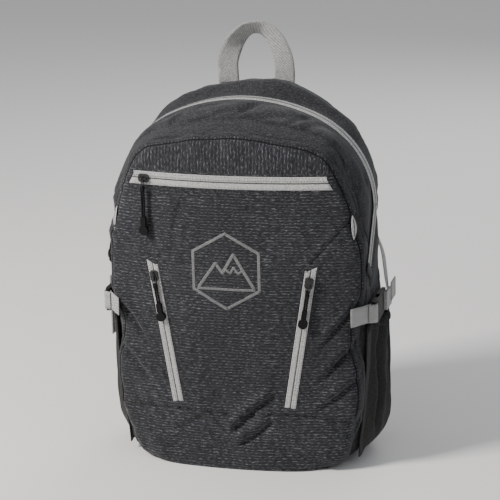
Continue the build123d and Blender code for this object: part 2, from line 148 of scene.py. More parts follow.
def boxes_mesh(centres, ax, ay, az, sx, sy, sz):
    """Many small bevelled-looking boxes: centres with axes per box."""
    V, F = [], []
    for c, a, b, n in zip(centres, ax, ay, az):
        k = len(V)
        for dz, s in ((-1, 1.0), (1, 0.72)):
            for dx, dy in ((-1, -1), (1, -1), (1, 1), (-1, 1)):
                V.append(c + a * dx * sx / 2 * s + b * dy * sy / 2 * s + n * dz * sz / 2)
        F += [(k, k + 3, k + 2, k + 1), (k + 4, k + 5, k + 6, k + 7), (k, k + 1, k + 5, k + 4),
              (k + 1, k + 2, k + 6, k + 5), (k + 2, k + 3, k + 7, k + 6), (k + 3, k, k + 4, k + 7)]
    return V, F


def resample(P, step):
    P = np.asarray(P, float)
    d = np.r_[0, np.cumsum(np.linalg.norm(np.diff(P, axis=0), axis=1))]
    n = max(2, int(round(d[-1] / step)) + 1)
    s = np.linspace(0, d[-1], n)
    return np.stack([np.interp(s, d, P[:, k]) for k in range(P.shape[1])], 1)


def smooth_path(ctrl, step=2.0):
    """Catmull-Rom through the control points."""
    C = np.asarray(ctrl, float)
    C = np.vstack([2 * C[0] - C[1], C, 2 * C[-1] - C[-2]])
    pts = []
    for i in range(1, len(C) - 2):
        for t in np.linspace(0, 1, 24, endpoint=False):
            p0, p1, p2, p3 = C[i - 1], C[i], C[i + 1], C[i + 2]
            pts.append(0.5 * (2 * p1 + (p2 - p0) * t + (2 * p0 - 5 * p1 + 4 * p2 - p3) * t * t
                              + (3 * p1 - p0 - 3 * p2 + p3) * t ** 3))
    pts.append(C[-2])
    return resample(pts, step)


# --------------------------------------------------------------------- materials


def node_mat(name, rough=0.8):
    m = bpy.data.materials.new(name)
    m.use_nodes = True
    nt = m.node_tree
    b = nt.nodes["Principled BSDF"]
    b.inputs["Roughness"].default_value = rough
    return m, nt, b


def tex(nt, kind, coord, scale3, **inputs):
    mp = nt.nodes.new("ShaderNodeMapping")
    mp.inputs["Scale"].default_value = scale3
    nt.links.new(coord, mp.inputs["Vector"])
    t = nt.nodes.new(kind)
    nt.links.new(mp.outputs["Vector"], t.inputs["Vector"])
    for k, v in inputs.items():
        t.inputs[k].default_value = v
    return t


def ramp(nt, src, stops):
    r = nt.nodes.new("ShaderNodeValToRGB")
    nt.links.new(src, r.inputs["Fac"])
    el = r.color_ramp.elements
    while len(el) > 1:
        el.remove(el[-1])
    el[0].position, el[0].color = stops[0][0], (*stops[0][1], 1)
    for p, c in stops[1:]:
        e = el.new(p)
        e.color = (*c, 1)
    return r


def mix(nt, kind, a, b, fac):
    m = nt.nodes.new("ShaderNodeMix")
    m.data_type = "RGBA"
    m.blend_type = kind
    for sock, val in ((m.inputs[6], a), (m.inputs[7], b), (m.inputs[0], fac)):
        if isinstance(val, bpy.types.NodeSocket):
            nt.links.new(val, sock)
        elif isinstance(val, tuple):
            sock.default_value = (*val, 1)
        else:
            sock.default_value = val
    return m.outputs[2]


def bump(nt, b, heights, strength, dist):
    prev = None
    for h, s in zip(heights, strength):
        n = nt.nodes.new("ShaderNodeBump")
        n.inputs["Strength"].default_value = s
        n.inputs["Distance"].default_value = dist
        nt.links.new(h, n.inputs["Height"])
        if prev:
            nt.links.new(prev, n.inputs["Normal"])
        prev = n.outputs["Normal"]
    nt.links.new(prev, b.inputs["Normal"])


def heather(name, dark, midc, light, fleck=0.62, streak=(330, 330, 1500), rough=0.9, weave=0.35,
            fleck_scale=1500, sheen=0.1, rib=0.0):
    m, nt, b = node_mat(name, rough)
    co = nt.nodes.new("ShaderNodeTexCoord").outputs["Object"]
    n1 = tex(nt, "ShaderNodeTexNoise", co, streak, Scale=1.0, Detail=2.0, Roughness=0.6)
    n2 = tex(nt, "ShaderNodeTexNoise", co, (fleck_scale * 0.45, fleck_scale * 0.45, fleck_scale), Scale=1.0, Detail=1.0)
    n3 = tex(nt, "ShaderNodeTexNoise", co, (7, 7, 7), Scale=1.0, Detail=3.0)
    r1 = ramp(nt, n1.outputs["Fac"], [(0.36, dark), (0.55, midc), (0.84, light)])
    r2 = ramp(nt, n2.outputs["Fac"], [(fleck - 0.06, (0, 0, 0)), (fleck + 0.05, (1, 1, 1))])
    c = mix(nt, "MIX", r1.outputs["Color"], light, r2.outputs["Color"])
    r3 = ramp(nt, n3.outputs["Fac"], [(0.3, (0.82, 0.82, 0.82)), (0.7, (1.1, 1.1, 1.1))])
    c = mix(nt, "MULTIPLY", c, r3.outputs["Color"], 1.0)
    if rib:
        rw = tex(nt, "ShaderNodeTexWave", co, (190, 190, 190), Scale=1.0, Distortion=0.8, Detail=1.0)
        rw.bands_direction = "DIAGONAL"
        r4 = ramp(nt, rw.outputs["Fac"], [(0.1, (1 - rib,) * 3), (0.6, (1.0 + 0.15 * rib,) * 3)])
        c = mix(nt, "MULTIPLY", c, r4.outputs["Color"], 1.0)
    nt.links.new(c, b.inputs["Base Color"])
    w1 = tex(nt, "ShaderNodeTexWave", co, (560, 560, 560), Scale=1.0, Distortion=1.2)
    w1.bands_direction = "Z"
    w2 = tex(nt, "ShaderNodeTexWave", co, (560, 560, 560), Scale=1.0, Distortion=1.2)
    w2.bands_direction = "X"
    bump(nt, b, [w1.outputs["Fac"], w2.outputs["Fac"], n1.outputs["Fac"]], [weave, weave, weave], 0.0005)
    b.inputs["Sheen Weight"].default_value = sheen
    b.inputs["Sheen Roughness"].default_value = 0.5
    b.inputs["Specular IOR Level"].default_value = 0.25
    return m


def slub(name):
    """Charcoal cloth: short light slubs lying across the panel, upright above
    the front zip, over a fine weave."""
    m, nt, b = node_mat(name, 0.88)
    co = nt.nodes.new("ShaderNodeTexCoord").outputs["Object"]
    sep = nt.nodes.new("ShaderNodeSeparateXYZ")
    nt.links.new(co, sep.inputs[0])
    a1 = tex(nt, "ShaderNodeTexNoise", co, (250, 250, 1150), Scale=1.0, Detail=1.5, Roughness=0.55)
    a2 = tex(nt, "ShaderNodeTexNoise", co, (1150, 420, 230), Scale=1.0, Detail=1.5, Roughness=0.55)
    w1_ = tex(nt, "ShaderNodeTexWave", co, (30, 30, 92), Scale=1.0, Distortion=2.6, Detail=1.0)
    w1_.bands_direction = "Z"
    w2_ = tex(nt, "ShaderNodeTexWave", co, (80, 30, 24), Scale=1.0, Distortion=2.6, Detail=1.0)
    w2_.bands_direction = "X"
    zone = nt.nodes.new("ShaderNodeMapRange")
    nt.links.new(sep.outputs[2], zone.inputs[0])
    zone.inputs[1].default_value, zone.inputs[2].default_value = 0.3505, 0.3515

    def lines(noise_, wave_):
        ad = nt.nodes.new("ShaderNodeMath"); ad.operation = "MULTIPLY_ADD"
        nt.links.new(wave_.outputs["Fac"], ad.inputs[0]); ad.inputs[1].default_value = 0.17
        nt.links.new(noise_.outputs["Fac"], ad.inputs[2])
        return ramp(nt, ad.outputs[0], [(0.48, (0.011, 0.0115, 0.0135)), (0.60, (0.021, 0.022, 0.0255)),
                                        (0.72, (0.044, 0.045, 0.050)), (0.84, (0.12, 0.122, 0.130))]), ad
    r1, h1 = lines(a1, w1_)
    r2, h2 = lines(a2, w2_)
    c = mix(nt, "MIX", r1.outputs["Color"], r2.outputs["Color"], zone.outputs[0])
    fl = tex(nt, "ShaderNodeTexNoise", co, (900, 900, 1500), Scale=1.0, Detail=1.0)
    fr = ramp(nt, fl.outputs["Fac"], [(0.35, (0.7, 0.7, 0.7)), (0.65, (1.35, 1.35, 1.37))])
    c = mix(nt, "MULTIPLY", c, fr.outputs["Color"], 1.0)
    lo = tex(nt, "ShaderNodeTexNoise", co, (9, 9, 9), Scale=1.0, Detail=3.0)
    lr = ramp(nt, lo.outputs["Fac"], [(0.3, (0.72, 0.72, 0.72)), (0.7, (1.15, 1.15, 1.15))])
    c = mix(nt, "MULTIPLY", c, lr.outputs["Color"], 1.0)
    nt.links.new(c, b.inputs["Base Color"])
    bump(nt, b, [h1.outputs[0], fl.outputs["Fac"]], [0.45, 0.35], 0.0004)
    b.inputs["Sheen Weight"].default_value = 0.1
    b.inputs["Sheen Roughness"].default_value = 0.5
    b.inputs["Specular IOR Level"].default_value = 0.25
    return m


MAT = {}
MAT["shell"] = slub("shell_slub")
MAT["shell_plain"] = heather("shell_heather", (0.010, 0.0105, 0.012), (0.023, 0.024, 0.0275), (0.09, 0.092, 0.099), fleck=0.66)
MAT["side"] = heather("side_stretch", (0.010, 0.010, 0.010), (0.020, 0.021, 0.019), (0.045, 0.046, 0.040),
                      fleck=0.72, rough=0.85, sheen=0.08)
MAT["web"] = heather("webbing_grey", (0.30, 0.30, 0.295), (0.46, 0.46, 0.45), (0.66, 0.66, 0.65),
                     fleck=0.60, streak=(900, 900, 420), weave=0.6, sheen=0.1, rib=0.32)
MAT["tape"] = heather("zip_tape_grey", (0.34, 0.34, 0.335), (0.50, 0.50, 0.49), (0.68, 0.68, 0.67),
                      fleck=0.60, streak=(700, 700, 700), weave=0.5, sheen=0.1)
MAT["blackweb"] = heather("webbing_black", (0.010, 0.010, 0.011), (0.022, 0.022, 0.024), (0.06, 0.06, 0.064),
                          fleck=0.70, streak=(900, 900, 420), weave=0.6, sheen=0.1, rib=0.4)
MAT["lining"] = heather("lining_grey", (0.15, 0.155, 0.16), (0.22, 0.225, 0.23), (0.3, 0.3, 0.31), fleck=0.7)
MAT["print"] = heather("print_grey", (0.10, 0.10, 0.102), (0.145, 0.145, 0.148), (0.22, 0.22, 0.222),
                       fleck=0.60, weave=0.2, rough=0.75)


def mesh_mat():
    m, nt, b = node_mat("spacer_mesh", 0.85)
    co = nt.nodes.new("ShaderNodeTexCoord").outputs["Object"]
    v = tex(nt, "ShaderNodeTexVoronoi", co, (520, 520, 520), Scale=1.0)
    v.feature = "F1"
    r = ramp(nt, v.outputs["Distance"], [(0.18, (0.004, 0.004, 0.004)), (0.42, (0.035, 0.036, 0.038)), (0.7, (0.06, 0.061, 0.064))])
    nt.links.new(r.outputs["Color"], b.inputs["Base Color"])
    bump(nt, b, [v.outputs["Distance"]], [0.7], 0.001)
    b.inputs["Specular IOR Level"].default_value = 0.25
    return m


def plain(name, colour, rough, metal=0.0, grain=0.15, spec=0.3):
    m, nt, b = node_mat(name, rough)
    co = nt.nodes.new("ShaderNodeTexCoord").outputs["Object"]
    n = tex(nt, "ShaderNodeTexNoise", co, (220, 220, 220), Scale=1.0, Detail=3.0)
    lo = tuple(c * 0.75 for c in colour)
    hi = tuple(min(1, c * 1.35) for c in colour)
    r = ramp(nt, n.outputs["Fac"], [(0.35, lo), (0.65, hi)])
    nt.links.new(r.outputs["Color"], b.inputs["Base Color"])
    rr = ramp(nt, n.outputs["Fac"], [(0.3, (rough * 0.85,) * 3), (0.7, (min(1, rough * 1.2),) * 3)])
    nt.links.new(rr.outputs["Color"], b.inputs["Roughness"])
    g = tex(nt, "ShaderNodeTexNoise", co, (2600, 2600, 2600), Scale=1.0, Detail=1.0)
    bump(nt, b, [g.outputs["Fac"]], [grain], 0.0001)
    b.inputs["Metallic"].default_value = metal
    b.inputs["Specular IOR Level"].default_value = spec
    return m


MAT["mesh"] = mesh_mat()
MAT["plastic"] = plain("black_acetal", (0.010, 0.010, 0.0105), 0.55, spec=0.18)
MAT["metal"] = plain("slider_black", (0.03, 0.03, 0.032), 0.36, metal=0.5, spec=0.4)
MAT["cord"] = plain("cord_black", (0.008, 0.008, 0.0085), 0.85, grain=0.5, spec=0.12)
MAT["coil"] = plain("coil_grey", (0.20, 0.20, 0.20), 0.5)
MAT["thread"] = plain("thread_dark", (0.05, 0.05, 0.052), 0.8)
MAT["threadl"] = plain("thread_grey", (0.30, 0.30, 0.30), 0.8)
# near-black seam line: painted shadow in the seam groove
MAT["seam"] = plain("seam_shadow", (0.004, 0.004, 0.005), 0.95)
MAT["board"] = plain("board_black", (0.1, 0.1, 0.1), 0.6)

# ------------------------------------------------------- outlines, as in the CAD
CROWN_R, CROWN_Z, CROWN_A = 202.5, 216.0, math.radians(25)
SHO_R = (150 - CROWN_R * math.sin(CROWN_A)) / (1 - math.sin(CROWN_A))
SHO_X = 150 - SHO_R
SHO_Z = CROWN_Z + (CROWN_R - SHO_R) * math.cos(CROWN_A)
FACE_R, FACE_C = 500.0, 412.0
CX, CZ = 0.0, 200.0


def face_y(x):
    return FACE_C - np.sqrt(FACE_R ** 2 - np.asarray(x, float) ** 2)


def arc(cx, cz, r, a0, a1, n):
    t = np.radians(np.linspace(a0, a1, n))
    return np.stack([cx + r * np.sin(t), cz + r * np.cos(t)], 1)


def round_poly(pts, radii, n=14):
    """Closed polygon with rounded corners."""
    P = np.asarray(pts, float)
    out = []
    for i, p in enumerate(P):
        a, b = unit(P[i - 1] - p), unit(P[(i + 1) % len(P)] - p)
        r = radii[i]
        if r <= 0:
            out.append(p); continue
        half = math.acos(np.clip(a @ b, -1, 1)) / 2
        d = min(r / math.tan(half), 0.48 * np.linalg.norm(P[i - 1] - p), 0.48 * np.linalg.norm(P[(i + 1) % len(P)] - p))
        p0, p1 = p + a * d, p + b * d
        for t in np.linspace(0, 1, n):
            out.append((1 - t) ** 2 * p0 + 2 * t * (1 - t) * p + t * t * p1)
    return np.array(out)


def body_loop():
    right = np.vstack([arc(0, CROWN_Z, CROWN_R, 0, 25, 40), arc(SHO_X, SHO_Z, SHO_R, 25, 90, 60)[1:]])
    low = smooth_path([(150, SHO_Z), (150.5, 250), (150, 195), (147.5, 120), (142, 50), (139, 30)], 3)[1:]
    corner = []
    for t in np.linspace(0, 1, 14):
        corner.append((1 - t) ** 2 * np.array([139, 30]) + 2 * t * (1 - t) * np.array([137, 1.5]) + t * t * np.array([110, 1.0]))
    right = np.vstack([right, low, np.array(corner)[1:], [[0, 0.6]]])
    left = right[::-1][1:-1] * [-1, 1]
    return np.vstack([right, left])


def pocket_loop():
    pts = [(-128, 1.5), (128, 1.5), (139, 160), (139, 312), (110, 380), (0, 400), (-110, 380), (-139, 312), (-139, 160)]
    return round_poly(pts, [30, 30, 400, 70, 50, 300, 50, 70, 400])


def polar(loop):
    d = loop - [CX, CZ]
    th = np.arctan2(d[:, 1], d[:, 0]); r = np.hypot(d[:, 0], d[:, 1])
    o = np.argsort(th); th, r = th[o], r[o]
    th = np.r_[th - 2 * math.pi, th, th + 2 * math.pi]; r = np.r_[r, r, r]
    return lambda a: np.interp(a, th, r)


LB, LP = body_loop(), pocket_loop()
rB_f, rP_f = polar(LB), polar(LP)
closed = resample(np.vstack([LB, LB[:1]]), 2.0)[:-1]
closed = closed[::2]
TH = np.unwrap(np.arctan2(closed[:, 1] - CZ, closed[:, 0] - CX))
N = len(TH)
rB, rP = rB_f(TH), rP_f(TH)
ct, st = np.cos(TH), np.sin(TH)

# profile stations
rows, tag, par = [], [], []


def station(r, y, name, p):
    rows.append((np.broadcast_to(r, (N,)).copy(), np.broadcast_to(y, (N,)).copy()))
    tag.append(name); par.append(p)


taper_k = np.abs(ct) ** 1.5


high_k = np.clip((CZ + rB * st - 190) / 70, 0, 1) * taper_k


def taper(y):
    return 9.0 * taper_k * np.clip((y - 14) / 56, 0, 1) ** 1.4 + 7.0 * high_k * np.clip((y - 14) / 32, 0, 1)


nb = 22
for t in np.linspace(0.03, 1, nb):
    station((rB - 21 - taper(70)) * t, 70 - 0.0 * t, "back", t)
for a in np.radians(np.linspace(8, 90, 10)):
    station(rB - 21 + 21 * math.sin(a) - taper(49 + 21 * math.cos(a)), 49 + 21 * math.cos(a), "backroll", a)
ys = np.linspace(49, -30, 46)[1:]
for y in ys:
    station(rB - taper(y), y, "gusset", y)
k = np.clip((rP + 1.0 - (rB - 18)) / 18, 0, 1)
a_end = np.arccos(k)
for t in np.linspace(0, 1, 10)[1:]:
    a = a_end * t
    station(rB - 18 + 18 * np.cos(a), -30 - 21 * np.sin(a), "frontroll", t)
r_v, y_v = rB - 18 + 18 * np.cos(a_end), -30 - 21 * np.sin(a_end)
for t in np.linspace(0, 1, 8)[1:]:
    station(r_v + (rP + 0.5 - r_v) * t, y_v - 1.5 * t - 1.5 * math.sin(math.pi * t), "valley", t)
yF = face_y(CX + rP * ct)
for t in np.linspace(0, 1, 9)[1:]:
    station(rP + 2.2 * math.sin(math.pi * t) * np.ones(N), (y_v - 1.5) + (yF + 12 - (y_v - 1.5)) * t, "side", t)
for a in np.radians(np.linspace(0, 90, 10))[1:]:
    rr = rP - 13 + 13 * math.cos(a)
    station(rr, face_y(CX + rr * ct) + 12 - 12 * math.sin(a), "roll", a)
nf = 120
for t in np.linspace(1, 0.006, nf)[1:]:
    rr = (rP - 13) * t
    station(rr, face_y(CX + rr * ct), "face", t)

M = len(rows)
G = np.zeros((M, N, 3))
for i, (r, y) in enumerate(rows):
    G[i, :, 0] = CX + r * ct
    G[i, :, 2] = CZ + r * st
    G[i, :, 1] = y
tags = np.array(tag)


def grid_normals(G):
    du = np.roll(G, -1, 1) - np.roll(G, 1, 1)
    dv = np.zeros_like(G)
    dv[1:-1] = G[2:] - G[:-2]
    dv[0], dv[-1] = G[1] - G[0], G[-1] - G[-2]
    n = unit(np.cross(du, dv))
    return n


# over the dome the fabric slopes straight up to the zip
ia = np.where(tags == "side")[0][-1]
ib = int(np.argmin(np.abs(np.where(tags == "gusset", [r[1].mean() for r in rows], 999) + 15)))
wcol = np.clip((G[ia, :, 2] - 285) / 60, 0, 1); wcol = wcol * wcol * (3 - 2 * wcol) * 0.85
leglen = np.r_[np.zeros((1, N)), np.cumsum(np.linalg.norm(np.diff(G[ib:ia + 1], axis=0), axis=2), 0)]
frac = (leglen / leglen[-1])[..., None]
target = G[ib][None] * (1 - frac) + G[ia][None] * frac
target[..., 2] += 5.0 * np.sin(np.pi * frac[..., 0])
G[ib:ia + 1] += (target - G[ib:ia + 1]) * wcol[None, :, None]
# behind the zip the full back half stands higher than the zip
hy = np.clip((G[..., 1] - 12) / 24, 0, 1); hy = hy * hy * (3 - 2 * hy)
he = np.clip((G[..., 1] - 44) / 24, 0, 1); he = 1 - he * he * (3 - 2 * he)
hump = 15.0 * hy * he * np.clip(st, 0, 1)[None, :] ** 1.3 * np.clip((G[..., 2] - 240) / 80, 0, 1)
G[..., 2] += hump
NRM = grid_normals(G)
mid = np.argmax(tags == "gusset") + 5
if (NRM[mid, :, 0] * ct).mean() < 0:
    NRM = -NRM


def seg_dist(X, Z, pts):
    """Distance in the x, z plane to a polyline."""
    best = np.full(X.shape, 1e9)
    for (x0, z0), (x1, z1) in zip(pts[:-1], pts[1:]):
        dx, dz = x1 - x0, z1 - z0
        t = np.clip(((X - x0) * dx + (Z - z0) * dz) / (dx * dx + dz * dz), 0, 1)
        best = np.minimum(best, np.hypot(X - x0 - t * dx, Z - z0 - t * dz))
    return best


X, Y, Z = G[..., 0], G[..., 1], G[..., 2]
flat = G.reshape(-1, 3)
lump = fbm(flat, 70, 1).reshape(M, N)
crease = fbm(flat * [1.0, 1.0, 1.0], 26, 2).reshape(M, N)
fine = fbm(flat, 9, 3, 2).reshape(M, N)

is_face = np.isin(tags, ["face", "roll"])[:, None] * np.ones((1, N))
is_gus = np.isin(tags, ["gusset", "backroll", "frontroll"])[:, None] * np.ones((1, N))
is_back = (tags == "back")[:, None] * np.ones((1, N))
is_valley = np.isin(tags, ["valley", "side", "frontroll"])[:, None] * np.ones((1, N))

zip_front = [(-113, 341), (113, 341)]
zip_l, zip_r = [(-92, 242), (-66, 78)], [(92, 242), (66, 78)]
SEAMS = [
    [(93, 250), (112, 272), (130, 292), (142, 304)],
    [(-93, 250), (-110, 262), (-126, 270), (-142, 276)],
    [(-64, 70), (-100, 68), (-140, 66)],
    [(64, 70), (100, 66), (140, 58)],
    [(-64, 70), (0, 66), (64, 70)],
]
dz = np.minimum(seg_dist(X, Z, zip_front), np.minimum(seg_dist(X, Z, zip_l), seg_dist(X, Z, zip_r)))
zmask = np.clip((dz - 11) / 22, 0, 1); zmask = zmask * zmask * (3 - 2 * zmask)
D = np.zeros((M, N))
# front face: soft, slightly overfilled panels between the seams
for s in SEAMS:
    d = seg_dist(X, Z, s)
    D += is_face * (-1.5 * np.exp(-(d / 1.5) ** 2) + 0.9 * np.exp(-((d - 5) / 4.5) ** 2))
    pucker = np.sin((X * 0.9 + Z * 0.5) * 0.42 + 2 * crease) * np.exp(-(d / 13) ** 2)
    D += is_face * 0.55 * pucker * zmask
D += is_face * zmask * (1.9 * lump + 0.9 * np.abs(crease) * 1.1 - 0.2)
bot = np.clip((70 - Z) / 60, 0, 1)
D += is_face * zmask * bot * (2.0 * np.sin(X / 17 + Z / 30 + 2.6 * lump) + 1.8 * crease)
# long drag lines running down and in from the buckles
for sx, z0_, sl in ((1, 196, 1.25), (1, 150, 1.1), (1, 108, 0.9), (-1, 190, 1.25), (-1, 140, 1.0)):
    q = (Z - z0_) - sl * (np.abs(X) - 138) + 4 * lump
    w_ = np.exp(-((np.abs(X) - 122) / 22) ** 2) * (X * sx > 0)
    D += is_face * zmask * w_ * (-4.8 * np.exp(-(q / 4.5) ** 2) + 2.9 * np.exp(-((q - 10) / 7) ** 2))
for seg_, dep, wd_ in (([(47, 90), (26, 74), (2, 50)], 5.6, 3.4), ([(42, 58), (28, 45), (10, 31)], 4.6, 3.0),
                       ([(-40, 60), (-62, 46), (-84, 40)], 2.0, 4.0), ([(10, 120), (34, 104), (52, 100)], 1.6, 5.0),
                       ([(-44, 330), (-60, 300), (-66, 262)], 1.3, 5.0), ([(60, 318), (84, 296), (96, 262)], 1.6, 5.0)):
    d = seg_dist(X, Z, seg_)
    d2 = seg_dist(X, Z, [(x - 5, z + 8) for x, z in seg_])
    D += is_face * zmask * (-dep * np.exp(-(d / wd_) ** 2) + 0.6 * dep * np.exp(-(d2 / (1.6 * wd_)) ** 2))
above = np.clip((Z - 352) / 20, 0, 1) * is_face
D += above * zmask * (1.5 * np.sin((X * 0.8 + Z * 0.9) / 9.5 + 2.5 * lump) - 0.8)
side_e = np.clip((np.abs(X) - 104) / 26, 0, 1) * is_face
D += side_e * zmask * (1.3 * np.sin(Z / 13 + 3.0 * lump + np.sign(X)) + 0.8 * crease)
puck_zip = np.exp(-((dz - 13) / 7) ** 2) * is_face
D += 0.5 * puck_zip * np.sin((X + Z * 0.7) * 0.5 + 1.5 * crease)

# gusset: clear of the zip band, with folds running across it
ang = TH[None, :] * np.ones((M, 1))
arcl = ang * 190.0
zb = np.clip((np.abs(Y) - 13.5) / 9, 0, 1)
leg = np.exp(-(((Z - 262) / 46) ** 4)) * (Y < 0) * (np.abs(X) > 130)
zb = zb * (1 - leg)
D += is_gus * zb * (1.5 * lump + 1.4 * np.sin(arcl / 11 + 3.2 * lump + Y * 0.06) * np.abs(crease) * 1.8)
topz = np.clip((Z - 372) / 24, 0, 1)
D += is_gus * zb * topz * (Y < 0) * (3.0 * np.abs(np.sin((X * 0.9 - Y * 1.3) / 17 + 2.0 * lump)) - 1.6)
# a soft dent over the top, in front of the zip and behind it
D += is_gus * zb * topz * (Y > 0) * (1.8 * np.sin(X / 26 + 1.5 * lump) - 0.6)
for xc, dep in ((14, 3.6), (74, 3.0), (-62, 2.6), (-104, 2.2)):
    q = (X - xc) - 0.55 * (Y + 32)
    D += is_gus * zb * topz * (Y < 0) * (-dep * np.exp(-(q / 3.4) ** 2) + 0.5 * dep * np.exp(-((q - 8) / 5) ** 2))
D += is_valley * (1.0 * lump + 1.6 * np.sin(arcl / 9 + 3.5 * lump) * np.abs(crease) * 1.5) * 0.8
D += is_back * (1.0 * lump)
low = np.clip((34 - Z) / 30, 0, 1) * (1 - is_face)
D += low * (0.8 * np.sin(arcl / 8 + 3 * crease))
D += 0.16 * fine * (zb if False else 1.0) * np.clip(zmask + (1 - is_face), 0, 1)
# clear of the zip legs, which slope down and forward on both sides
tl = np.clip((-Y * math.sin(math.radians(35)) + (SHO_Z - Z) * math.cos(math.radians(35))), 0, 76)
dl = np.hypot(Y + tl * math.sin(math.radians(35)), Z - SHO_Z + tl * math.cos(math.radians(35)))
lm = np.clip((dl - 17) / 14, 0, 1)
lm = np.where(np.abs(X) > 118, lm, 1.0)
D = D * lm - 1.9 * (1 - lm)
# flat under the side pockets
pk = (np.abs(X) > 122) & (Z < 172) & (Y > -49) & (Y < 60)
D = np.where(pk, np.minimum(D, 0) * 0.4 - 0.6, D)
# keep the flat base flat, and seams between gusset and pocket sharp
D *= np.clip((Z - 1.0) / 9, 0.05, 1)
rollr = np.where(tags == "roll")[0]
up = np.clip((Z - 60) / 60, 0, 1)
D[rollr[4]] -= 1.9 * up[rollr[4]]
D[rollr[5]] -= 0.3 * up[rollr[5]]
vseam = np.where(tags == "valley")[0]
D[vseam[len(vseam) // 2]] -= 1.2
G2 = G + NRM * D[..., None]
G2[..., 2] = np.maximum(G2[..., 2], 0.35)
legz = (dl < 26) & (np.abs(X) > 118)
G2[..., 0] = np.where(legz, np.sign(X) * np.minimum(np.abs(G2[..., 0]), 149.0), G2[..., 0])


def grid_faces(M, N, flip=False):
    F = []
    for i in range(M - 1):
        for j in range(N):
            a, b = i * N + j, i * N + (j + 1) % N
            q = (a, b, b + N, a + N)
            F.append(q[::-1] if flip else q)
    return F


V = [tuple(p) for p in G2.reshape(-1, 3)]
F = grid_faces(M, N)
V.append(tuple(G2[0].mean(0))); V.append(tuple(G2[-1].mean(0)))
for j in range(N):
    F.append((len(V) - 2, (j + 1) % N, j))
    F.append((len(V) - 1, (M - 1) * N + j, (M - 1) * N + (j + 1) % N))
bag = make("pack_body", V, F, MAT["shell"])
bag.data.materials.append(MAT["shell_plain"])
front_rows = set(np.where(np.isin(tags, ["face", "roll"]))[0])
front_rows -= set(rollr[:3])
for p in bag.data.polygons:
    if min(p.vertices) // N not in front_rows and p.index < (M - 1) * N:
        p.material_index = 1
import bmesh
bm = bmesh.new(); bm.from_mesh(bag.data); bmesh.ops.recalc_face_normals(bm, faces=bm.faces); bm.to_mesh(bag.data); bm.free()
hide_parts("main_shell", "front_shell", "front_pocket")

from mathutils.bvhtree import BVHTree
tree = BVHTree.FromPolygons([Vector(v) for v in V], F)


def drop(P, O, back=30.0, want=None):
    """Put points on the bag by looking along -O."""
    out = []
    for p, o in zip(np.asarray(P, float), np.broadcast_to(O, np.shape(P))):
        hit = tree.ray_cast(Vector(p + o * back), Vector(-o), 2 * back)
        out.append(np.array(hit[0]) if hit[0] is not None else p)
    return np.array(out)


def face_path(pts, step=2.0):
    """Path on the front face from x, z points: positions, normals."""
    Q = resample(pts, step)
    a = np.arcsin(np.clip(Q[:, 0] / FACE_R, -1, 1))
    n = np.stack([np.sin(a), -np.cos(a), 0 * a], 1)
    P = np.stack([Q[:, 0], face_y(Q[:, 0]), Q[:, 1]], 1)
    return P, n


def path_frame(P, O):
    T = np.gradient(P, axis=0)
    T = unit(T)
    A = unit(np.cross(O, T))
    return T, A


# ------------------------------------------------------------------------- zips
def zipper(name, P, O, half, nodes_, coil_half=2.2, lift=0.0, stitch_in=1.8, reverse=0, cut=()):
    """Two cloth halves with the teeth between them, or, when reversed, with the
    teeth behind a fine slit and a row of stitches beside it."""
    T, A = path_frame(P, O)
    parts = []
    for s in (-1, 1):
        w = half - 0.35
        edge = P + A * s * (0.35 + w / 2)
        rv, rf = ribbon_mesh(edge, A, O, w, 0.62, lift=lift + 0.12, crown=0.25 if reverse else 0.06)
        for end, k_ in cut:
            ring_ = range(14) if end == 0 else range(len(rv) - 14, len(rv))
            for q in ring_:
                rv[q] = rv[q] + T[end] * k_ * ((rv[q] - P[end]) @ A[end])
        parts.append((rv, rf))
    v, f = merge(parts)
    t = make(name + "_cloth", v, f, MAT["tape"])
    # coil: fine ribs across a narrow spine
    Q = resample(P, 1.5)
    idx = np.linspace(0, len(P) - 1, len(Q))
    OQ = unit(np.stack([np.interp(idx, range(len(P)), O[:, k]) for k in range(3)], 1))
    TQ, AQ = path_frame(Q, OQ)
    spine = ribbon_mesh(P, A, O, 2 * coil_half - 1.2, 0.45, lift=lift + 0.7)
    ribs = boxes_mesh(Q + OQ * (lift + 1.15), unit(TQ + 0.35 * AQ), AQ, OQ, 0.85, 2 * coil_half, 0.75)
    if reverse:
        spine = ribbon_mesh(P, A, O, 0.9, 0.42, lift=lift + 0.5)
        ribs = boxes_mesh(Q + OQ * (lift + 0.95) + AQ * 2.6 * reverse, unit(TQ + 0.25 * AQ), AQ, OQ, 0.8, 1.0, 0.25)
        ribs = boxes_mesh(Q[::2] + OQ[::2] * (lift + 0.92) + AQ[::2] * 2.6 * reverse, TQ[::2], AQ[::2], OQ[::2], 1.7, 0.8, 0.3)
    v, f = merge([spine, ribs])
    c = make(name + "_teeth", v, f, MAT["thread"] if reverse else MAT["coil"])
    # stitch rows
    S = resample(P, 3.6)
    idx = np.linspace(0, len(P) - 1, len(S))
    OS = unit(np.stack([np.interp(idx, range(len(P)), O[:, k]) for k in range(3)], 1))
    TS, AS = path_frame(S, OS)
    st_ = []
    for s in (-1, 1):
        st_.append(boxes_mesh(S + AS * s * (half - stitch_in) + OS * (lift + 0.82), TS, AS, OS, 2.3, 0.5, 0.28))
    v, f = merge(st_)
    make(name + "_stitches", v, f, MAT["thread"])
    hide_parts(*nodes_)
    return t


